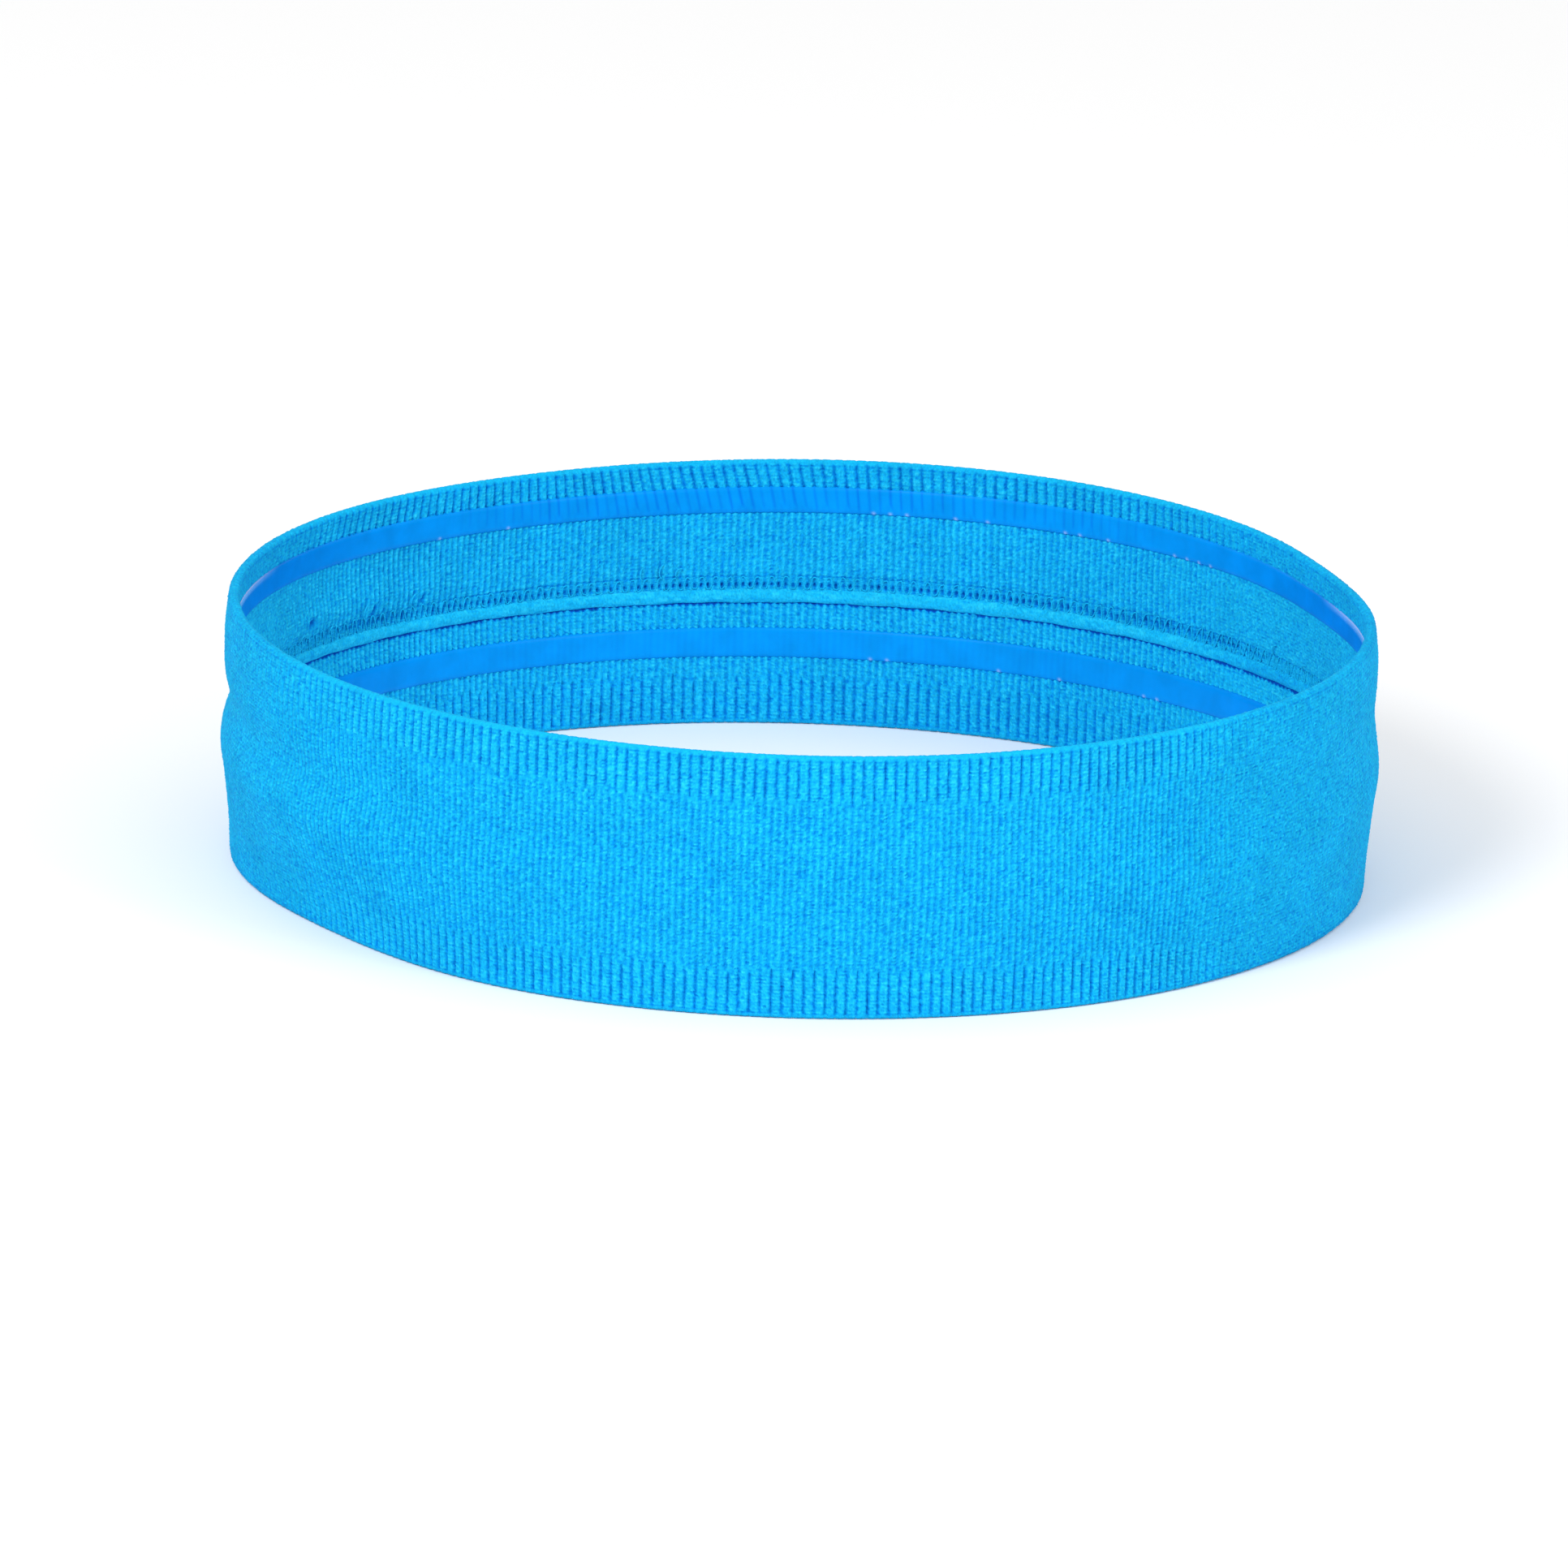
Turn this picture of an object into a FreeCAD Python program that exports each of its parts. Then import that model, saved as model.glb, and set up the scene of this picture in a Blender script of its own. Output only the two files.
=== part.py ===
import FreeCAD, Part
import Sketcher
import math
import os

# A seamless sports headband: one knitted tube, folded double so that both of its ends meet inside at
# mid height, with two silicone strips that grip the head. Millimetres, +Z up, the origin in the middle
# of the ring on the surface that it stands on.
#
# Every ring is an outline in the X-Z plane, x being the radius and y the height, turned about Z. The
# tube is built in the sections that the knitting changes in: a border of broad ribs round each fold,
# fine ribs between the borders outside, and fine ribs above and below the joining seam inside.

# Alias, size in millimetres (or degrees where the note says so), what it is.
SIZES = [
    ("inner_radius", 82.0, "head side of the fabric"),
    ("layer_thickness", 0.65, "one layer of the knitting"),
    ("layer_gap", 0.3, "slack between the two layers"),
    ("belly_curve", 211.0, "rounding of the outer layer's face, seen in section"),
    ("band_height", 39.5, "bottom fold to top fold"),
    ("border_height", 7.0, "broad-ribbed border beside each fold"),
    ("fold_corner", 0.6, "rounding on each side of a fold"),
    ("lower_layer_top", 17.9, "where the lower inner layer turns behind the hem"),
    ("hem_slit", 0.2, "open slit under the rolled hem"),
    ("hem_height", 2.1, "rolled hem, bottom to top"),
    ("hem_depth", 0.3, "hem's thickness behind the head side of the fabric"),
    ("hem_curve", 1.9, "rounding of the hem's face"),
    ("tuck_thickness", 0.5, "edge of the lower layer tucked behind the hem"),
    ("strip_thickness", 0.35, "how far each grip strip stands out of the fabric"),
    ("upper_strip_base", 31.7, "lower edge of the upper strip"),
    ("upper_strip_width", 3.9, "upper strip, edge to edge"),
    ("lower_strip_base", 10.0, "lower edge of the lower strip"),
    ("lower_strip_width", 4.4, "lower strip, edge to edge"),
    ("thread_radius", 0.12, "half the sewing thread's diameter"),
    ("stitch_rise", 0.6, "stitch row above the top of the hem"),
    ("tail_rise", 0.9, "loose thread ends above the stitch row"),
    ("tail_sweep", 4.5, "degrees of the ring that one loose end lies along"),
]

# Where the seam was fastened off: degrees round the ring at which each loose thread end starts.
TAIL_STARTS = [33.0, 102.0, 132.0, 140.0, 151.0]


def make_sheet(doc):
    """The driving dimensions, one to a row."""
    sheet = doc.addObject("Spreadsheet::Sheet", "Sizes")
    for row, (alias, size, note) in enumerate(SIZES, start=1):
        sheet.set(f"A{row}", alias)
        sheet.set(f"B{row}", str(size))
        sheet.setAlias(f"B{row}", alias)
        sheet.set(f"C{row}", note)
    doc.recompute()
    return sheet


def size_of(sheet, words):
    """The value of aliases joined by + and -, such as "inner_radius - strip_thickness"."""
    total = 0.0
    sign = 1.0
    for word in words.split():
        if word == "+":
            sign = 1.0
        elif word == "-":
            sign = -1.0
        else:
            total += sign * float(sheet.get(word))
    return total


def bound_to(words):
    """The same aliases as an expression that reads the sheet."""
    return " ".join(word if word in ("+", "-") else f"Sizes.{word}" for word in words.split())


def origin_plane(body, role):
    """One of the body's own origin planes."""
    for feature in body.Origin.OriginFeatures:
        if feature.Role == role:
            return feature
    raise ValueError(f"{body.Label} has no {role}")


def arc_between(start, end, radius):
    """An arc of the given radius that turns left on its way from start to end."""
    chord = end - start
    away = math.sqrt(radius**2 - (chord.Length / 2) ** 2)
    left = FreeCAD.Vector(-chord.y, chord.x, 0).normalize()
    centre = (start + end) * 0.5 + left * away
    circle = Part.Circle(centre, FreeCAD.Vector(0, 0, 1), radius)
    first = math.atan2(start.y - centre.y, start.x - centre.x)
    last = math.atan2(end.y - centre.y, end.x - centre.x)
    return Part.ArcOfCircle(circle, first, last)


def pin_corner(sketch, edge, point, radius_words, height_words):
    """Holds an edge's end at a radius and a height read from the sheet."""
    for kind, words in (("DistanceX", radius_words), ("DistanceY", height_words)):
        if words == "":
            sketch.addConstraint(Sketcher.Constraint("PointOnObject", edge, point, -1))
            continue
        value = size_of(sketch.Document.Sizes, words)
        number = sketch.addConstraint(Sketcher.Constraint(kind, -1, 1, edge, point, value))
        sketch.setExpression(f"Constraints[{number}]", bound_to(words))


def draw_outline(sketch, corners):
    """A closed outline, anticlockwise. Each corner is its radius, its height ("" on the floor) and the
    radius of the arc that leaves it, or None where a straight edge leaves it."""
    sheet = sketch.Document.Sizes
    places = []
    for radius_words, height_words, _ in corners:
        places.append(FreeCAD.Vector(size_of(sheet, radius_words), size_of(sheet, height_words), 0))
    for number, (_, _, curve_words) in enumerate(corners):
        start = places[number]
        end = places[(number + 1) % len(places)]
        if curve_words is None:
            sketch.addGeometry(Part.LineSegment(start, end), False)
        else:
            sketch.addGeometry(arc_between(start, end, size_of(sheet, curve_words)), False)
    for number, (radius_words, height_words, curve_words) in enumerate(corners):
        following = (number + 1) % len(corners)
        sketch.addConstraint(Sketcher.Constraint("Coincident", number, 2, following, 1))
        pin_corner(sketch, number, 1, radius_words, height_words)
        if curve_words is not None:
            curve = size_of(sheet, curve_words)
            held = sketch.addConstraint(Sketcher.Constraint("Radius", number, curve))
            sketch.setExpression(f"Constraints[{held}]", bound_to(curve_words))


def ring(doc, label, corners):
    """A body that is its outline turned once about Z."""
    body = doc.addObject("PartDesign::Body", label)
    body.Label = label
    sketch = body.newObject("Sketcher::SketchObject", f"{label}_outline")
    sketch.AttachmentSupport = (origin_plane(body, "XZ_Plane"), [""])
    sketch.MapMode = "FlatFace"
    draw_outline(sketch, corners)
    turned = body.newObject("PartDesign::Revolution", f"{label}_turned")
    turned.Profile = sketch
    turned.ReferenceAxis = (sketch, ["V_Axis"])
    turned.Angle = 360.0
    body.Tip = turned
    return body


# Radii that several rings share, from the head outwards.
HEAD_SIDE = "inner_radius"
INNER_LAYER_BACK = "inner_radius + layer_thickness"
OUTER_LAYER_BACK = "inner_radius + layer_thickness + layer_gap"
OUTER_FACE = "inner_radius + layer_thickness + layer_gap + layer_thickness"
HEM_BACK = "inner_radius + hem_depth"
# Heights that several rings share.
HEM_BASE = "lower_layer_top + hem_slit"
HEM_TOP = "lower_layer_top + hem_slit + hem_height"
STITCH_ROW = "lower_layer_top + hem_slit + hem_height + stitch_rise"


def bottom_border(doc):
    """The lower fold: broad ribs that run down outside, round the fold and up inside."""
    corners = [
        (f"{HEAD_SIDE} + fold_corner", "", None),
        (f"{OUTER_FACE} - fold_corner", "", "fold_corner"),
        (OUTER_FACE, "fold_corner", None),
        (OUTER_FACE, "border_height", None),
        (OUTER_LAYER_BACK, "border_height", None),
        (OUTER_LAYER_BACK, "layer_thickness", None),
        (INNER_LAYER_BACK, "layer_thickness", None),
        (INNER_LAYER_BACK, "border_height", None),
        (HEAD_SIDE, "border_height", None),
        (HEAD_SIDE, "fold_corner", "fold_corner"),
    ]
    return ring(doc, "bottom_border", corners)


def top_border(doc):
    """The upper fold, the lower one turned over."""
    corners = [
        (OUTER_LAYER_BACK, "band_height - border_height", None),
        (OUTER_FACE, "band_height - border_height", None),
        (OUTER_FACE, "band_height - fold_corner", "fold_corner"),
        (f"{OUTER_FACE} - fold_corner", "band_height", None),
        (f"{HEAD_SIDE} + fold_corner", "band_height", "fold_corner"),
        (HEAD_SIDE, "band_height - fold_corner", None),
        (HEAD_SIDE, "band_height - border_height", None),
        (INNER_LAYER_BACK, "band_height - border_height", None),
        (INNER_LAYER_BACK, "band_height - layer_thickness", None),
        (OUTER_LAYER_BACK, "band_height - layer_thickness", None),
    ]
    return ring(doc, "top_border", corners)


def outer_layer(doc):
    """The fine-ribbed layer that faces the world, fuller at mid height than beside the borders."""
    corners = [
        (OUTER_LAYER_BACK, "border_height", None),
        (OUTER_FACE, "border_height", "belly_curve"),
        (OUTER_FACE, "band_height - border_height", None),
        (OUTER_LAYER_BACK, "band_height - border_height", None),
    ]
    return ring(doc, "outer_layer", corners)


def plain_ring(doc, label, inside, outside, base, top):
    """A ring of rectangular section."""
    corners = [(inside, base, None), (outside, base, None), (outside, top, None), (inside, top, None)]
    return ring(doc, label, corners)


def rolled_hem(doc):
    """The upper inner layer's end, rolled into a smooth bead that stands out towards the head."""
    corners = [
        (HEAD_SIDE, HEM_BASE, None),
        (HEM_BACK, HEM_BASE, None),
        (HEM_BACK, HEM_TOP, None),
        (HEAD_SIDE, HEM_TOP, "hem_curve"),
    ]
    return ring(doc, "rolled_hem", corners)


def thread_ring(doc, label, radius_words, height_words):
    """One sewing thread, as a plain ring along its row of stitches."""
    thread = doc.addObject("Part::Torus", label)
    thread.Label = label
    thread.setExpression("Radius1", bound_to(radius_words))
    thread.setExpression("Radius2", "Sizes.thread_radius")
    thread.setExpression("Placement.Base.z", bound_to(height_words))
    return thread


def thread_tails(doc):
    """The loose ends left where the seam was fastened off, each lying along the fabric."""
    tails = []
    for number, start in enumerate(TAIL_STARTS, start=1):
        tail = thread_ring(
            doc, f"thread_tail_{number}", f"{HEAD_SIDE} - thread_radius", f"{STITCH_ROW} + tail_rise"
        )
        tail.setExpression("Angle3", "Sizes.tail_sweep")
        tail.Placement.Rotation = FreeCAD.Rotation(FreeCAD.Vector(0, 0, 1), start)
        tails.append(tail)
    group = doc.addObject("Part::Compound", "thread_tails")
    group.Label = "thread_tails"
    group.Links = tails
    return group


def build(doc):
    """Every sub-part, each an object of its own."""
    strip_face = f"{HEAD_SIDE} - strip_thickness"
    return [
        outer_layer(doc),
        top_border(doc),
        bottom_border(doc),
        plain_ring(
            doc, "inner_upper_layer", HEAD_SIDE, INNER_LAYER_BACK, HEM_TOP, "band_height - border_height"
        ),
        plain_ring(
            doc, "inner_lower_layer", HEAD_SIDE, INNER_LAYER_BACK, "border_height", "lower_layer_top"
        ),
        rolled_hem(doc),
        plain_ring(
            doc, "tucked_edge", HEM_BACK, f"{HEM_BACK} + tuck_thickness", "lower_layer_top", HEM_TOP
        ),
        plain_ring(
            doc,
            "upper_grip_strip",
            strip_face,
            HEAD_SIDE,
            "upper_strip_base",
            "upper_strip_base + upper_strip_width",
        ),
        plain_ring(
            doc,
            "lower_grip_strip",
            strip_face,
            HEAD_SIDE,
            "lower_strip_base",
            "lower_strip_base + lower_strip_width",
        ),
        thread_ring(doc, "needle_thread", f"{HEAD_SIDE} - thread_radius", STITCH_ROW),
        thread_ring(doc, "looper_thread", f"{INNER_LAYER_BACK} + thread_radius", STITCH_ROW),
        thread_tails(doc),
    ]


def check(doc, nodes):
    """Stops if any object failed or any sub-part is empty or broken."""
    for item in doc.Objects:
        if "Invalid" in item.State or "Error" in item.State:
            raise RuntimeError(f"{item.Label} did not recompute: {item.State}")
    for node in nodes:
        if node.Shape.isNull() or not node.Shape.isValid():
            raise RuntimeError(f"{node.Label} has no valid shape")


def main():
    doc = FreeCAD.newDocument("sports_headband")
    make_sheet(doc)
    nodes = build(doc)
    doc.recompute()
    check(doc, nodes)
    os.makedirs("parts", exist_ok=True)
    for node in nodes:
        node.Shape.exportStep(f"parts/{node.Label}.step")
        box = node.Shape.BoundBox
        print(
            f"{node.Label}: {len(node.Shape.Solids)} solid, {node.Shape.Volume:.0f} cubic mm, "
            f"radius to {box.XMax:.2f}, height {box.ZMin:.2f} to {box.ZMax:.2f}"
        )


main()
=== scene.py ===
"""The looks of a seamless sports headband: a ribbed knitted tube folded double, a joining seam with its
stitches and loose ends, and two silicone grip strips. Metres, the frame's own axes: the viewer is at -Y,
and an angle round the ring starts at +X and goes towards +Y."""

import math

import bpy
import numpy as np
from mathutils import Matrix, Vector


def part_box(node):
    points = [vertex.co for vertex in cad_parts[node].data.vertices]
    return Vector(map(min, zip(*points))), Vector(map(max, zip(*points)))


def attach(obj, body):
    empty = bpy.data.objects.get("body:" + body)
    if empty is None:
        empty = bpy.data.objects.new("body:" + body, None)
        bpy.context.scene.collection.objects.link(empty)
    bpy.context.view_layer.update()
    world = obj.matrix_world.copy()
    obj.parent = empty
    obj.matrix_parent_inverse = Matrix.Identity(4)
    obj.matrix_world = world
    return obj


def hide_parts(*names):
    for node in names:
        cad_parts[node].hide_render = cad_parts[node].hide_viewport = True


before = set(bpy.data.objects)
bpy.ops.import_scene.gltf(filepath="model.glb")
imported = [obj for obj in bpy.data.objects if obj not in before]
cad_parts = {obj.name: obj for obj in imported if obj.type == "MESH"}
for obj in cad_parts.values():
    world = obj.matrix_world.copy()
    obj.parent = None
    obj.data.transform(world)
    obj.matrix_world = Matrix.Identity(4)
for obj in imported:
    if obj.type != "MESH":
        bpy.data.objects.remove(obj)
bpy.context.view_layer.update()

MM = 0.001
chance = np.random.default_rng(7)

# ---------------------------------------------------------------- sizes, from the frame

BAND_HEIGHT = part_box("top_border")[1].z
BORDER_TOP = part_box("bottom_border")[1].z
UPPER_BORDER_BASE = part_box("top_border")[0].z
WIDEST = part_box("outer_layer")[1].x
HEM_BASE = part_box("rolled_hem")[0].z
HEM_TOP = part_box("rolled_hem")[1].z
LOWER_LAYER_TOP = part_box("inner_lower_layer")[1].z
STITCH_ROW = (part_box("needle_thread")[0].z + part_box("needle_thread")[1].z) / 2
THREAD_RADIUS = (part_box("needle_thread")[1].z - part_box("needle_thread")[0].z) / 2
WALL = 1.6 * MM
FOLD = WALL / 2

# The knitting. A broad rib is as wide as one and a half fine ones, so that both fit the ring exactly, and
# every rib has a whole number of the mesh's columns.
FINE_RIBS = 498
COLUMNS_PER_FINE_RIB = 6
COLUMNS_PER_BROAD_RIB = 9
COLUMNS = FINE_RIBS * COLUMNS_PER_FINE_RIB
COURSE = 0.5 * MM
ROW_STEP = COURSE / 2
FINE_DEPTH = 0.22 * MM
BROAD_DEPTH = 0.40 * MM
STITCH_DEPTH = 0.045 * MM
FIBRE_DEPTH = 0.014 * MM

ANGLES = np.arange(COLUMNS) * 2 * math.pi / COLUMNS

# Distances along the tube's section, from the lower edge of the outer layer.
OUTER_LENGTH = UPPER_BORDER_BASE - BORDER_TOP
BORDER_LENGTH = 2 * (BORDER_TOP - FOLD) + math.pi * FOLD

# How dark a point is tinted, for the materials, with painted light and shade in it: 0 on a stitch with a
# painted highlight, 1 down a hole in painted shade.
RIB_TINT = 0.3
GROOVE_TINT = 0.6
LOOSE_END_TINT = 0.25

# How many sides a thread's tube has.
THREAD_SIDES = 8


def smooth(share):
    """An even start and stop between 0 and 1."""
    share = np.clip(share, 0, 1)
    return share * share * (3 - 2 * share)


def bump_at(value, middle, reach):
    """A rounded bump, 1 at the middle."""
    return np.exp(-(((value - middle) / reach) ** 2))


# ---------------------------------------------------------------- the band's shape


def at_angle(angle, degrees, reach):
    """A rounded bump round the ring, 1 at the given place."""
    apart = (angle - math.radians(degrees) + math.pi) % (2 * math.pi) - math.pi
    return bump_at(apart, 0, math.radians(reach))


def crease(z, height, reach, depth):
    """The depth at z of a soft crease or swelling round the wall. All but z are in millimetres."""
    return depth * MM * bump_at(z, height * MM, reach * MM)


def outer_radius(angle, z):
    """The wall's outer face. At both sides of the ring it draws in towards the foot, most at the front
    left, swells below mid height and has a soft crease above the swelling. Front and back are nearly
    straight."""
    belly = 18 * MM
    aside = np.cos(angle) ** 2
    left = np.clip(-np.cos(angle), 0, 1) ** 2
    right = np.clip(np.cos(angle), 0, 1) ** 2
    radius = WIDEST - 0.3 * MM
    foot = 0.3 + 1.0 * aside + 3.2 * at_angle(angle, 212, 21) + 0.5 * at_angle(angle, 325, 18)
    radius = radius - foot * MM * smooth((belly - z) / belly) ** 0.85
    radius = radius + crease(z, 18, 3.0, 0.30) * aside
    radius = radius - crease(z, 24.5, 3.0, 0.95) * left
    radius = radius - crease(z, 26.5, 4.0, 0.45) * right
    radius = radius - 0.4 * MM * smooth((z - 34 * MM) / (6 * MM)) * aside
    shoulders = 0.5 * at_angle(angle, 125, 25) + 1.5 * at_angle(angle, 22, 14)
    radius = radius - shoulders * MM * smooth((z - 20 * MM) / (15 * MM))
    uneven = np.sin(5 * angle + 1.3) * np.sin(z / (9 * MM) + 2 * angle)
    return radius + 0.08 * MM * uneven


def sway(angle, z):
    """How far the far rim rises on the right and sinks on the left."""
    rise = at_angle(angle, 62, 28) - at_angle(angle, 122, 30)
    return 0.45 * MM * rise * smooth(z / BAND_HEIGHT)


def stray(angle, z):
    """How far the ribs lean over towards the upper rim, at the back, and wander sideways."""
    near_rim = np.clip((z - UPPER_BORDER_BASE) / (BAND_HEIGHT - UPPER_BORDER_BASE), 0, 1)
    lean = 1.7 * MM * (at_angle(angle, 100, 20) - 0.7 * at_angle(angle, 142, 18)) * near_rim
    wave = 0.07 * MM * np.sin(11 * angle + z / (6 * MM)) + 0.04 * MM * np.sin(23 * angle - z / (4 * MM))
    return lean + wave


def wall_line(bottom, top, inset, facing):
    """A straight stretch of the section, from bottom to top: rows of (inset from the outer face, height,
    normal's radial part, normal's upward part)."""
    count = max(2, round(abs(top - bottom) / ROW_STEP) + 1)
    heights = np.linspace(bottom, top, count)
    return [(inset, z, facing, 0.0) for z in heights]


def fold_line(centre_z, upward):
    """The half turn round a fold, from the outer face to the inner one."""
    count = round(math.pi * FOLD / ROW_STEP)
    rows = []
    for step in range(1, count):
        turn = math.pi * step / count
        across = math.cos(turn)
        up = upward * math.sin(turn)
        rows.append((FOLD - FOLD * across, centre_z + FOLD * up, across, up))
    return rows


def row_heights(rows):
    """The height of each row."""
    return np.array([row[1] for row in rows])


def ring_points(angle, radius, z, lift):
    """Points round the ring, where the ribs lean and the rim sways. lift is added to the height."""
    turned = angle + stray(angle, z) / radius
    level = z + lift + sway(angle, z)
    return np.stack([radius * np.cos(turned), radius * np.sin(turned), level], axis=-1)


def section_points(rows, height):
    """The surface's points: rows of the section by columns round the ring, raised by height."""
    inset, z, across, up = (np.array(part)[:, None] for part in zip(*rows))
    angle = ANGLES[None, :]
    radius = outer_radius(angle, z) - inset + across * height
    return ring_points(angle, radius, z, up * height)


def row_lengths(rows):
    """Distance along the section from its first row to each row."""
    line = np.array([(row[0], row[1]) for row in rows])
    steps = np.linalg.norm(np.diff(line, axis=0), axis=1)
    return np.concatenate([[0.0], np.cumsum(steps)])


# ---------------------------------------------------------------- the ribs


def fine_profile():
    """One round rib and its groove: 1 on the rib, 0 in the groove."""
    share = (np.arange(COLUMNS) % COLUMNS_PER_FINE_RIB) / COLUMNS_PER_FINE_RIB
    return 0.5 - 0.5 * np.cos(2 * math.pi * share)


def broad_profile():
    """One flat-topped rib of two wales, with a narrow groove and a slight dip between the wales."""
    share = (np.arange(COLUMNS) % COLUMNS_PER_BROAD_RIB) / COLUMNS_PER_BROAD_RIB
    from_groove = 2 * np.minimum(share, 1 - share)
    groove = bump_at(from_groove, 0, 0.30)
    dip = 0.08 * bump_at(from_groove, 1.0, 0.25)
    return 1 - groove - dip


def each_fine_rib(values):
    """One value for each fine rib, given to all its columns."""
    return np.repeat(values, COLUMNS_PER_FINE_RIB, axis=-1)


# Random differences over the whole tube, so that its sections match where they meet: one number for each
# rib at every step along the section.
FIELD_STEP = 2.2 * MM
FIELD_ROWS = 64
BROAD_RIBS = COLUMNS // COLUMNS_PER_BROAD_RIB
FINE_FIELD = chance.normal(0, 1, (FIELD_ROWS, FINE_RIBS))
BROAD_FIELD = chance.normal(0, 1, (FIELD_ROWS, BROAD_RIBS))
RAGGED_EDGE = np.repeat(chance.uniform(-0.6, 0.6, BROAD_RIBS) * MM, COLUMNS_PER_BROAD_RIB)


def field_at(field, along):
    """A field's numbers at distances along the section, for every column."""
    places = along / FIELD_STEP + FIELD_ROWS / 2
    below = np.floor(places).astype(int)
    share = (places - below)[:, None]
    rows = field[below] * (1 - share) + field[below + 1] * share
    columns_per_rib = COLUMNS // field.shape[1]
    return np.repeat(rows, columns_per_rib, axis=1)


# The ribs close up into an even grain at both sides of the ring, over a longer stretch on the right. How
# open they are, at every column: 1 at the front and the back, and a little even where they are closed.
LEAST_OPEN = 0.08
OPENING_STARTS = 0.43 + 0.13 * np.cos(ANGLES)
OPENNESS = LEAST_OPEN + (1 - LEAST_OPEN) * smooth((np.abs(np.sin(ANGLES)) - OPENING_STARTS) / 0.30)


def opened(profile, count):
    """The given number of equal rows: a rib's profile where ribs are open, levelled where they close."""
    return (1 - OPENNESS * (1 - profile))[None, :] * np.ones((count, 1))


def noise_rows(count, columns):
    """Random numbers with none on the first and last rows, so that neighbouring sections match."""
    numbers = chance.normal(0, 1, (count, columns))
    numbers[[0, -1]] = 0
    return numbers


# How much neighbouring ribs, courses and stitches differ, as shares of their own depth.
FINE_UNEVEN = 0.25
BROAD_UNEVEN = 0.2
COURSE_UNEVEN = 0.4
STITCH_UNEVEN = 0.6

# How much each thing changes the tint: painted shade darkens the grooves, and evenly the closed ribs at the
# sides in place of their grooves; painted highlights lighten what stands out.
FINE_GROOVE_SHADE = 0.75
BROAD_GROOVE_SHADE = 1.15
CLOSED_SHADE = 0.10
COURSE_LIGHT = 0.06
STITCH_LIGHT = 0.09
FIBRE_LIGHT = 0.05


def ribs(along, broadness, strength):
    """The knitting's height and tint at distances along the section. broadness (0 fine, 1 broad) and
    strength are one number, or one for each row and column."""
    count = len(along)
    fine = opened(fine_profile(), count)
    broad = opened(broad_profile(), count)
    ridge = fine * (1 - broadness) + broad * broadness
    fine_slow = field_at(FINE_FIELD, along)
    fine_dip = (fine - 1) * FINE_DEPTH * (1 + FINE_UNEVEN * fine_slow)
    broad_dip = (broad - 1) * BROAD_DEPTH * (1 + BROAD_UNEVEN * field_at(BROAD_FIELD, along))
    course = np.where(np.arange(count) % 2 == 0, 1.0, -1.0)[:, None]
    course[[0, -1]] = 0
    # Each fine rib is two legs of a stitch wide, and each leg stands out a little differently.
    stitch = np.repeat(noise_rows(count, 2 * FINE_RIBS), COLUMNS_PER_FINE_RIB // 2, axis=1)
    fibre = noise_rows(count, COLUMNS)
    loops = ridge * (course * (1 + COURSE_UNEVEN * fine_slow) + STITCH_UNEVEN * stitch)
    height = fine_dip * (1 - broadness) + broad_dip * broadness + STITCH_DEPTH * loops
    # Painted shade in the grooves, and an even painted shade over the ribs where they close up.
    fine_dark = FINE_GROOVE_SHADE * (1 - fine) * (1 - broadness)
    broad_dark = BROAD_GROOVE_SHADE * (1 - broad) * broadness
    tint = RIB_TINT + (GROOVE_TINT - RIB_TINT) * (fine_dark + broad_dark) * strength
    tint = tint + CLOSED_SHADE * (1 - OPENNESS)
    # Painted highlights where courses, stitch legs and fibres stand out.
    tint = tint - COURSE_LIGHT * course * ridge - STITCH_LIGHT * stitch - FIBRE_LIGHT * fibre
    return height * strength + FIBRE_DEPTH * fibre, np.clip(tint, 0, 1)


def transition(z, edge, towards_broad):
    """Fine ribs turn into broad ones over a short, ragged stretch at the border's edge. towards_broad is
    1 where the border is above the edge and -1 where it is below."""
    stretch = 1.3 * MM
    past_edge = z[:, None] - edge + RAGGED_EDGE[None, :]
    return smooth(0.5 + towards_broad * past_edge / stretch)


# ---------------------------------------------------------------- meshes


def quads_between(index):
    """Faces between neighbouring rows of points. Each row goes once round and closes on itself."""
    onward = np.roll(index, -1, axis=1)
    return np.stack([index[:-1], onward[:-1], onward[1:], index[1:]], axis=-1).reshape(-1, 4)


def new_piece(name, points, quads):
    """A smooth-shaded object of the given points and faces."""
    mesh = bpy.data.meshes.new(name)
    mesh.vertices.add(len(points))
    mesh.vertices.foreach_set("co", points.astype(np.float32).ravel())
    mesh.loops.add(quads.size)
    mesh.loops.foreach_set("vertex_index", quads.astype(np.int32).ravel())
    mesh.polygons.add(len(quads))
    mesh.polygons.foreach_set("loop_start", np.arange(0, quads.size, 4, dtype=np.int32))
    mesh.polygons.foreach_set("use_smooth", np.ones(len(quads), bool))
    mesh.update(calc_edges=True)
    piece = bpy.data.objects.new(name, mesh)
    bpy.context.scene.collection.objects.link(piece)
    return piece


def give_values(piece, name, values):
    """A number for each point, which the piece's material reads."""
    attribute = piece.data.attributes.new(name, "FLOAT", "POINT")
    attribute.data.foreach_set("value", values.astype(np.float32).ravel())


def ring_piece(name, points, closed, tint):
    """A surface of rows round the ring. closed joins the last row to the first, as in a tube."""
    rows, columns, _ = points.shape
    index = np.arange(rows * columns).reshape(rows, columns)
    if closed:
        index = np.vstack([index, index[:1]])
    piece = new_piece(name, points.reshape(-1, 3), quads_between(index))
    give_values(piece, "tint", tint)
    return piece


def unit(vectors):
    """The same directions, of length 1."""
    return vectors / np.linalg.norm(vectors, axis=1)[:, None]


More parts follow.
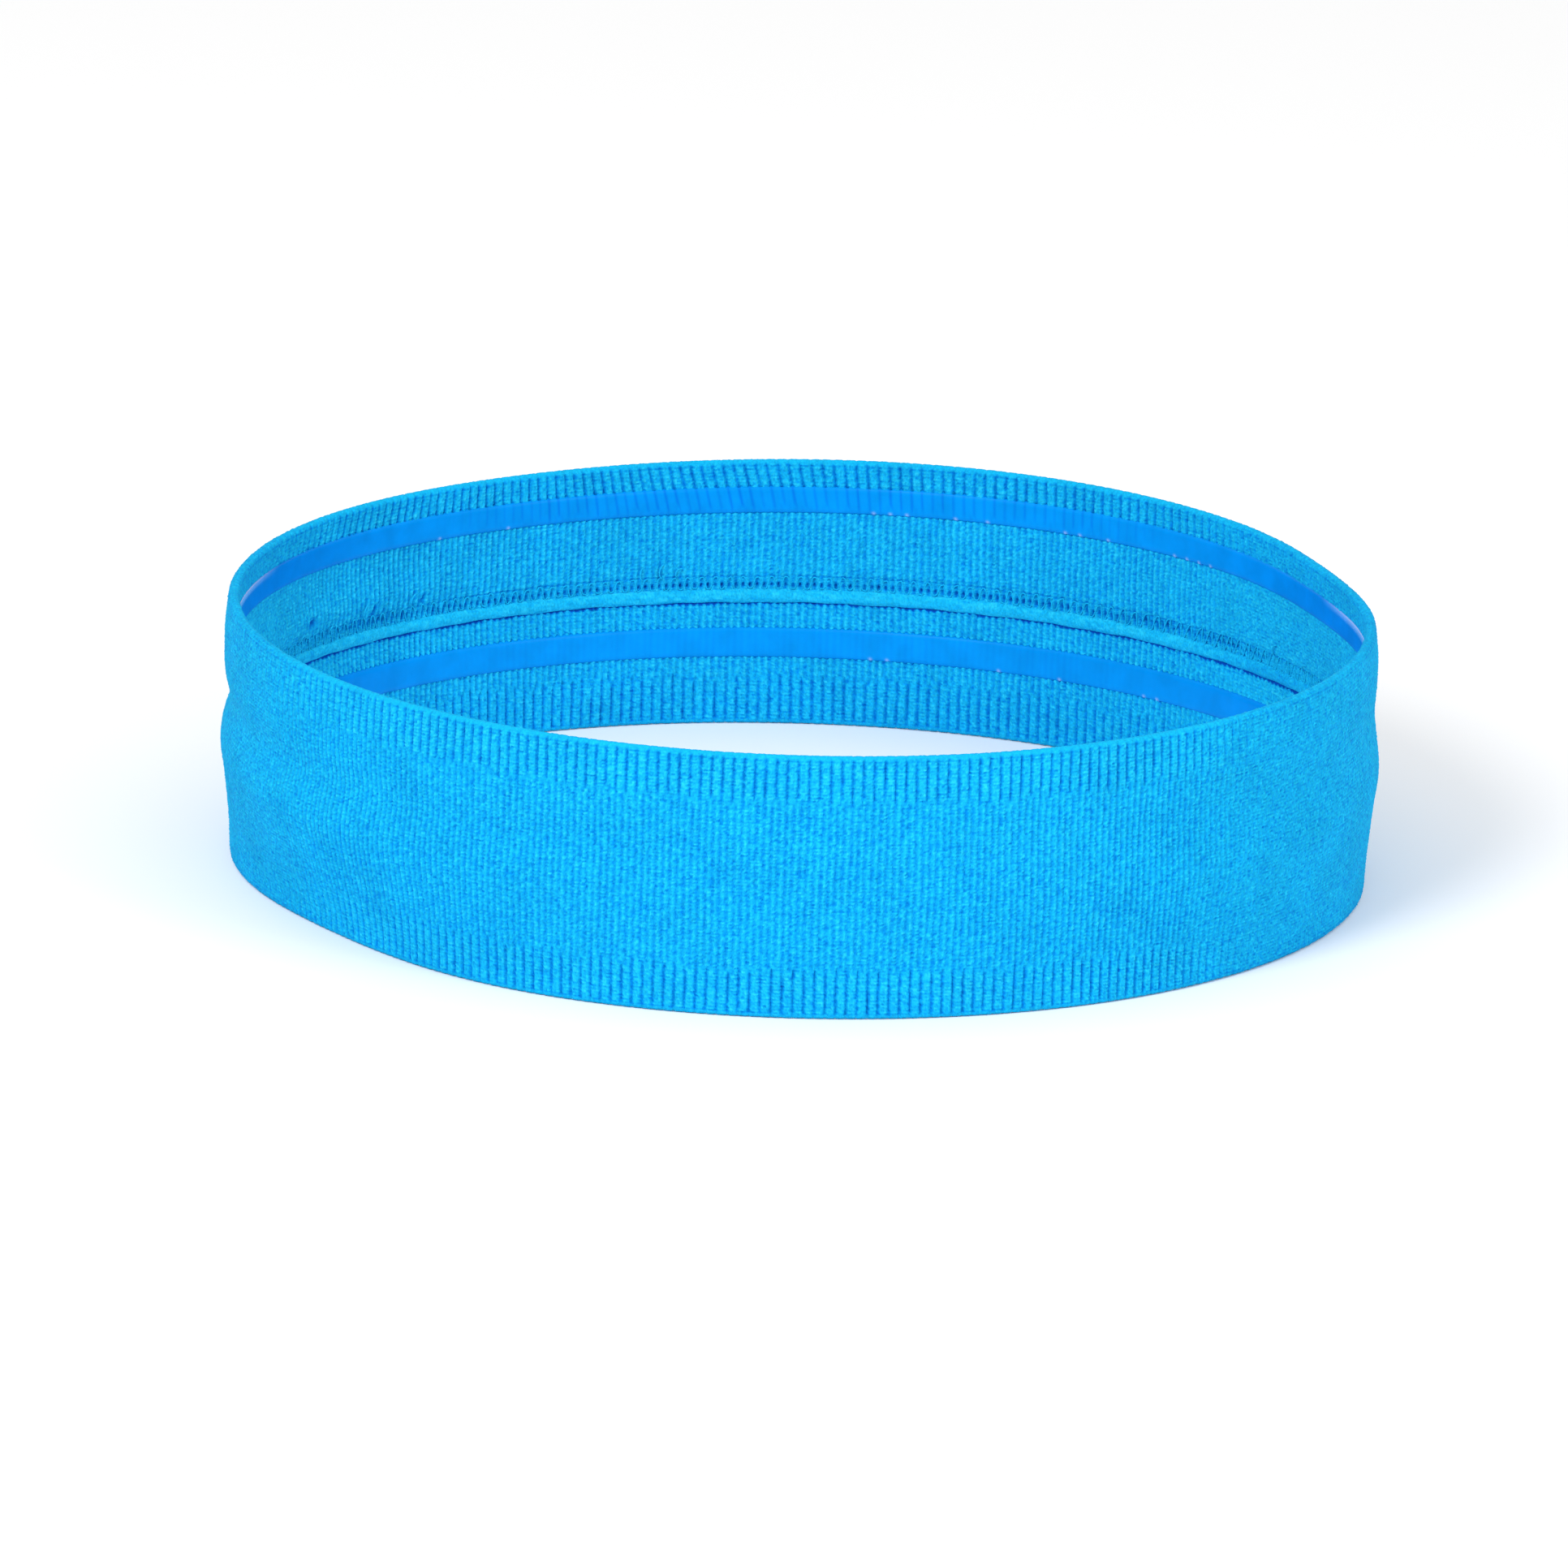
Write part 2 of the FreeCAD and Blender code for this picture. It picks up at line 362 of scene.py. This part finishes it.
def beside(line, ahead):
    """Two directions square to a line on the ring, at each of its points: across it along the wall, and
    away from the wall."""
    ahead = unit(ahead)
    outward = unit(line * np.array([1.0, 1.0, 0.0]))
    side = unit(np.cross(ahead, outward))
    return side, np.cross(side, ahead)


def tube_round(line, radius):
    """A round tube along a closed line of points: rows round the tube by points along it."""
    side, lift = beside(line, np.roll(line, -1, axis=0) - np.roll(line, 1, axis=0))
    rows = []
    for step in range(THREAD_SIDES):
        turn = 2 * math.pi * step / THREAD_SIDES
        rows.append(line + radius * (math.cos(turn) * lift + math.sin(turn) * side))
    return np.array(rows)


def tube_open(line, radius):
    """A tube along an open line, tapering at both ends: points along the line by points round it."""
    side, lift = beside(line, np.gradient(line, axis=0))
    thickness = radius * np.clip(4 * np.sin(np.linspace(0, math.pi, len(line))), 0.02, 1)
    turns = 2 * math.pi * np.arange(THREAD_SIDES) / THREAD_SIDES
    round_line = np.cos(turns)[None, :, None] * lift[:, None] + np.sin(turns)[None, :, None] * side[:, None]
    return line[:, None] + thickness[:, None, None] * round_line


# ---------------------------------------------------------------- materials


def new_material(name):
    """A node material that has only its shader. Returns the material, its nodes, its links, the shader."""
    material = bpy.data.materials.new(name)
    material.use_nodes = True
    nodes = material.node_tree.nodes
    nodes.clear()
    output = nodes.new("ShaderNodeOutputMaterial")
    shader = nodes.new("ShaderNodeBsdfPrincipled")
    material.node_tree.links.new(shader.outputs["BSDF"], output.inputs["Surface"])
    return material, nodes, material.node_tree.links, shader


def point_values(nodes, name):
    """The numbers that a piece carries at its points."""
    attribute = nodes.new("ShaderNodeAttribute")
    attribute.attribute_name = name
    return attribute.outputs["Fac"]


def colours_by_tint(nodes, links, stops):
    """The colour at each point's tint, between stops of (tint, colour)."""
    ramp = nodes.new("ShaderNodeValToRGB")
    elements = ramp.color_ramp.elements
    elements[0].position, elements[0].color = stops[0]
    elements[1].position, elements[1].color = stops[-1]
    for position, colour in stops[1:-1]:
        elements.new(position).color = colour
    links.new(point_values(nodes, "tint"), ramp.inputs["Fac"])
    return ramp.outputs["Color"]


def noise(nodes, links, scale, detail):
    """A random pattern fixed to the object, with about scale spots to the metre."""
    place = nodes.new("ShaderNodeTexCoord")
    pattern = nodes.new("ShaderNodeTexNoise")
    pattern.inputs["Scale"].default_value = scale
    pattern.inputs["Detail"].default_value = detail
    links.new(place.outputs["Object"], pattern.inputs["Vector"])
    return pattern


def spread(nodes, links, pattern, low, high):
    """A pattern's middle range spread from low to high."""
    spreader = nodes.new("ShaderNodeMapRange")
    spreader.inputs["From Min"].default_value = 0.3
    spreader.inputs["From Max"].default_value = 0.7
    spreader.inputs["To Min"].default_value = low
    spreader.inputs["To Max"].default_value = high
    links.new(pattern.outputs["Fac"], spreader.inputs["Value"])
    return spreader.outputs["Result"]


def scaled(nodes, links, colour, amount):
    """A colour made darker or lighter."""
    scaler = nodes.new("ShaderNodeVectorMath")
    scaler.operation = "SCALE"
    links.new(colour, scaler.inputs[0])
    links.new(amount, scaler.inputs["Scale"])
    return scaler.outputs["Vector"]


def product(nodes, links, first, second):
    """Two numbers multiplied. The second is a socket or a plain number."""
    times = nodes.new("ShaderNodeMath")
    times.operation = "MULTIPLY"
    links.new(first, times.inputs[0])
    if isinstance(second, float):
        times.inputs[1].default_value = second
    else:
        links.new(second, times.inputs[1])
    return times.outputs["Value"]


def add_relief(nodes, links, pattern, shader, strength, depth):
    """A fine relief of the pattern on the surface."""
    relief = nodes.new("ShaderNodeBump")
    relief.inputs["Strength"].default_value = strength
    relief.inputs["Distance"].default_value = depth
    links.new(pattern.outputs["Fac"], relief.inputs["Height"])
    links.new(relief.outputs["Normal"], shader.inputs["Normal"])


# The knitting's colours by tint: a painted highlight on raised stitches, the yarn's own blue on the ribs,
# painted shade in the grooves, and the deepest painted shade down holes, in pits and in the slit under the
# hem.
LIT_BLUE = (0.024, 0.57, 0.82, 1)
RIB_BLUE = (0.005, 0.405, 0.715, 1)
SHADED_GROOVE_BLUE = (0.0, 0.22, 0.62, 1)
SHADED_HOLE_BLUE = (0.0, 0.06, 0.38, 1)
KNIT_COLOURS = [(0.0, LIT_BLUE), (RIB_TINT, RIB_BLUE), (GROOVE_TINT, SHADED_GROOVE_BLUE), (1.0, SHADED_HOLE_BLUE)]

# The strip's own blue, and a deeper blue for the ribs showing through and for painted shade towards the
# sides of the ring.
STRIP_BLUE = (0.0, 0.27, 0.73, 1)
DEEP_STRIP_BLUE = (0.0, 0.14, 0.63, 1)
# The pale blue of the silicone's painted highlight.
PAINTED_HIGHLIGHT_BLUE = (0.42, 0.55, 0.90, 1)


def knit_material(name):
    """Ribbed knitting: lighter on the ribs with painted highlights, darker in the grooves and holes with
    painted shade, and with the grain of its stitches.
    """
    material, nodes, links, shader = new_material(name)
    grain = noise(nodes, links, 3200.0, 3.0)
    grain.inputs["Roughness"].default_value = 0.6
    patches = noise(nodes, links, 120.0, 2.0)
    fleck = spread(nodes, links, grain, 0.80, 1.18)
    cloud = spread(nodes, links, patches, 0.95, 1.04)
    blue = colours_by_tint(nodes, links, KNIT_COLOURS)
    links.new(scaled(nodes, links, blue, product(nodes, links, fleck, cloud)), shader.inputs["Base Color"])
    add_relief(nodes, links, grain, shader, 0.5, 0.06 * MM)
    shader.inputs["Roughness"].default_value = 0.85
    shader.inputs["Specular IOR Level"].default_value = 0.05
    return material


def silicone_material():
    """Silicone that takes the blue of the knitting under it. Where its points are glossy it has less
    roughness and more specular, and its colour is mixed towards the pale blue of a painted highlight.
    """
    material, nodes, links, shader = new_material("grip_silicone")
    blue = colours_by_tint(nodes, links, [(0.0, STRIP_BLUE), (1.0, DEEP_STRIP_BLUE)])
    cloud = spread(nodes, links, noise(nodes, links, 260.0, 3.0), 0.92, 1.08)
    gloss_and_highlight = point_values(nodes, "gloss_and_highlight")
    # Painted highlight: the colour is mixed towards a pale blue where the points are glossy.
    highlight_mix = nodes.new("ShaderNodeMixRGB")
    highlight_mix.inputs["Color2"].default_value = PAINTED_HIGHLIGHT_BLUE
    links.new(product(nodes, links, gloss_and_highlight, 0.5), highlight_mix.inputs["Fac"])
    links.new(scaled(nodes, links, blue, cloud), highlight_mix.inputs["Color1"])
    links.new(highlight_mix.outputs["Color"], shader.inputs["Base Color"])
    add_relief(nodes, links, noise(nodes, links, 700.0, 2.0), shader, 0.25, 0.05 * MM)
    for socket, dull, glossy in (("Roughness", 0.35, 0.15), ("Specular IOR Level", 0.04, 0.8)):
        blend = nodes.new("ShaderNodeMapRange")
        blend.inputs["To Min"].default_value = dull
        blend.inputs["To Max"].default_value = glossy
        links.new(gloss_and_highlight, blend.inputs["Value"])
        links.new(blend.outputs["Result"], shader.inputs[socket])
    return material


knit = knit_material("ribbed_knit")
thread_yarn = knit_material("seam_thread")
silicone = silicone_material()


def finish_piece(piece, material, node):
    """Gives a piece its material, and its place in the frame."""
    piece.data.materials.append(material)
    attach(piece, "root")
    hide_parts(node)
    return piece


# ---------------------------------------------------------------- the knitted tube


def knit_piece(node, rows, height, tint):
    """One section of the tube."""
    piece = ring_piece(f"{node}_knit", section_points(rows, height), False, tint)
    return finish_piece(piece, knit, node)


def make_outer_layer():
    """Fine ribs from border to border."""
    rows = wall_line(BORDER_TOP, UPPER_BORDER_BASE, 0.0, 1.0)
    z = row_heights(rows)
    broadness = np.maximum(transition(z, BORDER_TOP, -1), transition(z, UPPER_BORDER_BASE, 1))
    height, tint = ribs(row_lengths(rows), broadness, 1.0)
    return knit_piece("outer_layer", rows, height, tint)


def make_border(node, edge, centre_z, upward):
    """Broad ribs from the outer face over the fold to the inner face, pressed smooth at the rim. upward
    is 1 for the upper border and -1 for the lower one."""
    leg_out = wall_line(edge, centre_z, 0.0, 1.0)
    leg_in = wall_line(centre_z, edge, WALL, -1.0)
    rows = leg_out + fold_line(centre_z, upward) + leg_in
    z = row_heights(rows)
    along = row_lengths(rows) + OUTER_LENGTH if upward > 0 else -row_lengths(rows)
    rim = BAND_HEIGHT if upward > 0 else 0.0
    pressed_reach = 0.5 * MM
    pressed_tint = 0.32
    line_inside_rim = 0.75 * MM
    pressed = bump_at(z, rim, pressed_reach)[:, None] * (0.3 + 0.7 * OPENNESS)[None, :]
    line = bump_at(z, rim - upward * line_inside_rim, 0.2 * MM)[:, None]
    height, tint = ribs(along, transition(z, edge, upward), 1 - 0.85 * pressed)
    tint = tint * (1 - pressed) + pressed_tint * pressed + 0.08 * line
    return knit_piece(node, rows, height, tint)


def loosened():
    """Where the stitches were pulled slack and lean over: both sides of the ring, seen from the front."""
    lean = bump_at(ANGLES, math.radians(145), math.radians(14))
    return lean - bump_at(ANGLES, math.radians(38), math.radians(20))


# The inner side isn't stretched over anything, so its ribs stand closer and deeper. Its tint is lighter, a
# painted light on the inner face, which lies in the shade of the opposite wall.
INNER_STRENGTH = 1.15
INNER_PAINTED_LIGHT = 0.06

# Places where a loop was pulled: degrees round the ring, height, reach along and up in millimetres.
SNAGS = [(150.6, 24.3, 0.8, 0.6), (139.5, 23.2, 0.35, 0.9), (132.6, 23.0, 0.35, 0.7)]


def snag(z, degrees, height, reach_along, reach_up):
    """A small pit that leans over, at rows of the given heights. Where it is used, it is darkened with
    painted shade.
    """
    rise = z[:, None] - height * MM
    along = (ANGLES[None, :] - math.radians(degrees)) * WIDEST + 0.6 * rise
    return bump_at(along, 0, reach_along * MM) * bump_at(rise, 0, reach_up * MM)


def stitch_holes(z):
    """A hole in every groove, at rows of the given heights. Where the seam was pulled slack they are
    longer, lean over and wander up and down. They fade out at the sides of the ring."""
    rise_per_column = 0.3 * MM
    half_width = 1.15
    slack = loosened()
    rise = z[:, None] - STITCH_ROW
    along = np.arange(COLUMNS)[None, :] + slack[None, :] * rise / rise_per_column
    half_rib = COLUMNS_PER_FINE_RIB / 2
    from_groove = np.abs((along + half_rib) % COLUMNS_PER_FINE_RIB - half_rib)
    size = each_fine_rib(chance.uniform(0.45, 1.0, FINE_RIBS))
    size = size * smooth((np.abs(np.sin(ANGLES)) - 0.52) / 0.15)
    wander = each_fine_rib(chance.uniform(-0.2, 0.9, FINE_RIBS)) * np.abs(slack) * MM
    reach = (0.29 + 0.45 * np.abs(slack)) * MM
    across = bump_at(from_groove, 0, half_width)
    upright = bump_at((rise - wander[None, :]) / reach[None, :], 0, 1)
    return across * upright * size


def make_inner_upper_layer():
    """Fine ribs from the upper border down to the seam, with a row of stitch holes over the hem and a
    faint ridge over them. The rows are closer together at the holes, and the last ones are behind the
    hem."""
    hole_depth = 0.5 * MM
    ridge_depth = 0.1 * MM
    ribbed = wall_line(UPPER_BORDER_BASE, STITCH_ROW + 1.6 * MM, WALL, -1.0)
    close_steps = np.linspace(ribbed[-1][1] - ROW_STEP / 2, HEM_TOP - 0.5 * MM, 22)
    rows = ribbed + [(WALL, level, -1.0, 0.0) for level in close_steps]
    z = row_heights(rows)
    along = OUTER_LENGTH + BORDER_LENGTH + row_lengths(rows)
    broadness = transition(z, UPPER_BORDER_BASE, 1)
    height, tint = ribs(along, broadness, INNER_STRENGTH)
    # Painted light on the inner face.
    tint = tint - INNER_PAINTED_LIGHT * (1 - broadness)
    holes = stitch_holes(z)
    snags = sum(snag(z, *place) for place in SNAGS)
    ridge_line = bump_at(z, STITCH_ROW + 1.3 * MM, 0.12 * MM)[:, None]
    height = height - hole_depth * np.maximum(holes, snags) - ridge_depth * ridge_line
    # Painted shade down the stitch holes and in the snags.
    tint = np.clip(tint + 0.6 * holes + 0.5 * snags + 0.2 * ridge_line, 0, 1)
    return knit_piece("inner_upper_layer", rows, height, tint)


def make_inner_lower_layer():
    """Fine ribs from the lower border up to the slit, where the layer turns in behind the hem. The slit is
    darkened with a painted shadow.
    """
    ribbed = wall_line(BORDER_TOP, LOWER_LAYER_TOP - 0.1 * MM, WALL, -1.0)
    bend = 0.6 * MM
    turning = []
    for share in np.arange(1, 7) / 6:
        turning.append((WALL - bend * share**2, ribbed[-1][1] + bend * share, -1.0, 0.0))
    rows = ribbed + turning
    z = row_heights(rows)
    along = -BORDER_LENGTH - row_lengths(rows)
    broadness = transition(z, BORDER_TOP, -1)
    height, tint = ribs(along, broadness, INNER_STRENGTH)
    # Painted light on the inner face.
    tint = tint - INNER_PAINTED_LIGHT * (1 - broadness)
    jagged = each_fine_rib(chance.uniform(-0.15, 0.15, FINE_RIBS) * MM)
    in_groove = 0.25 * MM * (1 - fine_profile())
    slit = smooth((z[:, None] - LOWER_LAYER_TOP + jagged + in_groove) / (0.25 * MM))
    # Painted shadow in the slit under the hem.
    tint = np.clip(tint + 0.9 * slit, 0, 1)
    return knit_piece("inner_lower_layer", rows, height, tint)


def make_tucked_edge():
    """The lower layer's end behind the hem, with shallow ribs."""
    behind = 0.65 * MM
    strength = 0.6
    base, top = (corner.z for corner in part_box("tucked_edge"))
    rows = wall_line(base, top, WALL - behind, -1.0)
    height, tint = ribs(row_lengths(rows), 0.0, strength)
    return knit_piece("tucked_edge", rows, height, tint)


def make_rolled_hem():
    """The smooth bead along the seam, oval in section and a little uneven."""
    middle = (HEM_BASE + HEM_TOP) / 2
    half_height = HEM_TOP - middle
    half_depth = 0.60 * MM
    sides = 18
    rows = []
    for step in range(sides):
        turn = 2 * math.pi * step / sides
        across = -math.cos(turn)
        up = math.sin(turn)
        rows.append((WALL - 0.25 * MM - half_depth * across, middle + half_height * up, across, up))
    drift = 0.05 * MM * np.sin(31 * ANGLES + 0.4) + 0.04 * MM * np.sin(83 * ANGLES)
    height = drift[None, :] + chance.normal(0, FIBRE_DEPTH, (sides, COLUMNS))
    points = section_points(rows, height)
    yarn = each_fine_rib(chance.normal(0, 0.06, (sides, FINE_RIBS)))
    # The yarn's random tone, and a painted shade that darkens the bead towards the sides of the ring.
    tint = 0.40 - 0.14 * OPENNESS + yarn + chance.normal(0, 0.05, (sides, COLUMNS))
    piece = ring_piece("rolled_hem_knit", points, True, np.clip(tint, 0, 1))
    return finish_piece(piece, knit, "rolled_hem")


# ---------------------------------------------------------------- the grip strips


# Degrees round the ring: mostly the right of the back, and a few on the left.
DROPLET_PLACES = np.concatenate([np.arange(44, 84, 1.7), np.arange(122, 134, 4.3)])


def strip_outline(base, top):
    """The strip's section, from its lower edge to its upper one: points of (how far it stands out of the
    fabric, height). Both edges are rounded, and their backs are sunk in the fabric."""
    proud = 0.24 * MM
    sunk = 0.2 * MM
    edge = 0.6 * MM
    rising = [(-sunk, 0.0), (0.3 * proud, 0.12 * edge), (0.7 * proud, 0.4 * edge), (proud, edge)]
    outline = [(out, base + step) for out, step in rising]
    for share in np.linspace(0.08, 0.92, 10):
        outline.append((proud, base + edge + (top - base - 2 * edge) * share))
    return outline + [(out, top - step) for out, step in reversed(rising)]


def ribs_under(z):
    """How deep a groove lies under the strip. It shows only near the back, and most under broad ribs."""
    broadness = transition(z, UPPER_BORDER_BASE, 1)
    groove = 1 - (fine_profile() * (1 - broadness) + broad_profile() * broadness)
    near_back = smooth((np.sin(ANGLES) - 0.72) / 0.2)[None, :]
    return OPENNESS * groove * (0.25 + 0.75 * broadness) * near_back


def make_strip(node, droplets):
    """A flat band of silicone, glossy along its upper edge at the sides of the ring, with a painted
    highlight there and on its droplets. The ribs under it show through faintly, its edges follow them, and
    droplets stand on its lower edge at given places."""
    dip = 0.02 * MM
    drop_size = 0.2 * MM
    scallop_size = 0.3 * MM
    base, top = (corner.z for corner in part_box(node))
    middle = (base + top) / 2
    outline = strip_outline(base, top)
    rows = [(WALL + out, level, -1.0, 0.0) for out, level in outline]
    z = row_heights(rows)[:, None]
    front = np.array([1.0 if out > 0 else 0.0 for out, _ in outline])[:, None]
    upper_edge = smooth((z - top + 1.0 * MM) / (0.8 * MM)) * front
    shine = upper_edge * smooth((np.abs(np.cos(ANGLES)) - 0.93) / 0.06)[None, :]
    ragged = each_fine_rib(chance.uniform(0.5, 1.5, FINE_RIBS))
    under = ribs_under(z[:, 0])
    drops = sum(at_angle(ANGLES, degrees, 0.16) for degrees in droplets)
    drops = bump_at(z, base + drop_size, 0.22 * MM) * drops[None, :]
    points = section_points(rows, -dip * under * front + drop_size * drops)
    scallop = scallop_size * (OPENNESS * (fine_profile() - 0.5) * ragged)[None, :]
    points[..., 2] += scallop * np.sign(middle - z) * (1 - front)
    # Painted shade: the strip is darker towards the sides of the ring.
    deeper = 0.7 * np.cos(ANGLES)[None, :] ** 4
    tint = np.clip(0.5 * under * front * ragged[None, :] + deeper, 0, 1)
    piece = ring_piece(f"{node}_silicone", points, True, tint)
    give_values(piece, "gloss_and_highlight", np.clip(shine + drops, 0, 1))
    return finish_piece(piece, silicone, node)


# ---------------------------------------------------------------- the seam's threads


def around(angle, depth, z):
    """Points at a depth into the wall from its outer face."""
    return ring_points(angle, outer_radius(angle, z) - depth, z, 0.0)


def thread_line(depth, middle, reach):
    """A thread that goes up one rib and down the next."""
    share = (np.arange(COLUMNS) % (2 * COLUMNS_PER_FINE_RIB)) / (2 * COLUMNS_PER_FINE_RIB)
    swing = np.clip(1.5 * np.sin(2 * math.pi * (share - 0.25)), -1, 1)
    stitch = np.arange(COLUMNS) // COLUMNS_PER_FINE_RIB
    varied = chance.uniform(0.85, 1.15, FINE_RIBS)[stitch]
    z = middle + reach * swing * (varied + 0.5 * np.abs(loosened()))
    angle = ANGLES + 0.45 * MM * swing * loosened() / WIDEST
    return around(angle, depth, z)


def seam_thread(node, line):
    """A thread all the way round."""
    tint = np.full((THREAD_SIDES, COLUMNS), RIB_TINT)
    piece = ring_piece(f"{node}_yarn", tube_round(line, 0.8 * THREAD_RADIUS), True, tint)
    return finish_piece(piece, thread_yarn, node)


def make_needle_thread():
    """Stitches that lash the hem's upper edge to the layer."""
    line = thread_line(WALL + 0.02 * MM, STITCH_ROW + 0.35 * MM, 0.85 * MM)
    return seam_thread("needle_thread", line)


def make_looper_thread():
    """The same seam's thread between the layers."""
    return seam_thread("looper_thread", thread_line(WALL - 1.1 * MM, STITCH_ROW, 0.4 * MM))


# Loose ends that show inside: degrees round the ring, height over the stitch row and length in
# millimetres, and how far they curl, in turns.
LOOSE_ENDS = [
    (104.5, 1.1, 3.0, 0.35),
    (103.0, 1.3, 2.4, 0.5),
    (106.5, 0.9, 2.6, 0.3),
    (134.0, 1.4, 3.2, 0.45),
    (141.0, 1.2, 3.4, 0.4),
    (147.0, 0.6, 2.8, 0.6),
    (153.0, 0.8, 3.6, 0.7),
    (33.0, 1.0, 3.0, 0.4),
    (27.0, 0.8, 2.6, 0.5),
]


def loose_end(degrees, rise, length, curl):
    """The line of one curled end. Its middle stands furthest off the knitting."""
    share = np.linspace(0, 1, 24)
    heading = 0.5 + 2 * math.pi * curl * share
    step = length * MM / len(share)
    along = np.cumsum(np.cos(heading)) * step
    climb = np.cumsum(np.sin(heading)) * step
    angle = math.radians(degrees) + along / WIDEST
    lifted = 0.25 * MM * np.sin(math.pi * share)
    return around(angle, WALL + 0.1 * MM + lifted, STITCH_ROW + rise * MM + climb)


def make_thread_tails():
    """Short curled ends, lying on the knitting."""
    points = []
    quads = []
    used = 0
    for place in LOOSE_ENDS:
        tube = tube_open(loose_end(*place), 0.8 * THREAD_RADIUS)
        count = tube.shape[0] * tube.shape[1]
        quads.append(used + quads_between(np.arange(count).reshape(tube.shape[:2])))
        points.append(tube.reshape(-1, 3))
        used += count
    piece = new_piece("thread_tails_yarn", np.concatenate(points), np.concatenate(quads))
    give_values(piece, "tint", np.full(used, LOOSE_END_TINT))
    return finish_piece(piece, thread_yarn, "thread_tails")


# ---------------------------------------------------------------- building the band

outer_layer = make_outer_layer()
top_border = make_border("top_border", UPPER_BORDER_BASE, BAND_HEIGHT - FOLD, 1)
bottom_border = make_border("bottom_border", BORDER_TOP, FOLD, -1)
inner_upper_layer = make_inner_upper_layer()
inner_lower_layer = make_inner_lower_layer()
tucked_edge = make_tucked_edge()
rolled_hem = make_rolled_hem()
make_strip("upper_grip_strip", chance.choice(DROPLET_PLACES, 14, replace=False))
make_strip("lower_grip_strip", chance.choice(DROPLET_PLACES, 6, replace=False))
needle_thread = make_needle_thread()
make_looper_thread()
make_thread_tails()


# ---------------------------------------------------------------- stage, light and camera


MIDDLE = Vector((0, 0, BAND_HEIGHT / 2))


def make_floor():
    """A plain pale floor: a level grid of squares, just under the band."""
    lines = 41
    span = 6.0
    below = 0.05 * MM
    steps = np.linspace(-span / 2, span / 2, lines)
    points = [(x, y, -below) for y in steps for x in steps]
    faces = []
    for row in range(lines - 1):
        for column in range(lines - 1):
            corner = row * lines + column
            faces.append((corner, corner + 1, corner + lines + 1, corner + lines))
    mesh = bpy.data.meshes.new("floor")
    mesh.from_pydata(points, [], faces)
    floor = bpy.data.objects.new("floor", mesh)
    bpy.context.scene.collection.objects.link(floor)
    material, _, _, shader = new_material("pale_floor")
    shader.inputs["Base Color"].default_value = (0.94, 0.94, 0.94, 1)
    shader.inputs["Roughness"].default_value = 0.9
    shader.inputs["Specular IOR Level"].default_value = 0.1
    mesh.materials.append(material)


def area_light(name, place, size, power):
    """A large soft lamp at a place, facing the middle of the band."""
    light = bpy.data.lights.new(name, "AREA")
    light.shape = "DISK"
    light.size = size
    light.energy = power
    lamp = bpy.data.objects.new(name, light)
    bpy.context.scene.collection.objects.link(lamp)
    lamp.location = place
    lamp.rotation_mode = "QUATERNION"
    lamp.rotation_quaternion = (MIDDLE - Vector(place)).to_track_quat("-Z", "Y")


def make_light():
    """A bright even room with a soft lamp from the upper left and a weaker one from the right."""
    world = bpy.data.worlds.new("studio")
    bpy.context.scene.world = world
    world.use_nodes = True
    background = world.node_tree.nodes["Background"]
    background.inputs["Color"].default_value = (1.0, 1.0, 1.0, 1)
    background.inputs["Strength"].default_value = 0.85
    area_light("key", (-0.5, -0.9, 0.8), size=0.5, power=9)
    area_light("fill", (0.9, -0.7, 0.5), size=0.6, power=4)
    bpy.context.scene.view_settings.view_transform = "Standard"


def make_camera():
    """Looking down at the ring from far away, with a slight tilt and the ring a little off the middle."""
    elevation = math.radians(15.0)
    tilt = math.radians(1.7)
    frame_width = 227.3 * MM
    right_of_middle = 2.26 * MM
    above_middle = 6.55 * MM
    distance = 2.0
    back = Vector((0, -math.cos(elevation), math.sin(elevation)))
    turn = (-back).to_track_quat("-Z", "Y").to_matrix() @ Matrix.Rotation(tilt, 3, "Z")
    camera = bpy.data.objects.new("camera", bpy.data.cameras.new("camera"))
    bpy.context.scene.collection.objects.link(camera)
    camera.data.type = "ORTHO"
    camera.data.ortho_scale = frame_width
    aside = turn @ Vector((right_of_middle, above_middle, 0))
    camera.rotation_mode = "QUATERNION"
    camera.rotation_quaternion = turn.to_quaternion()
    camera.location = MIDDLE - aside + back * distance
    bpy.context.scene.camera = camera


make_floor()
make_light()
make_camera()
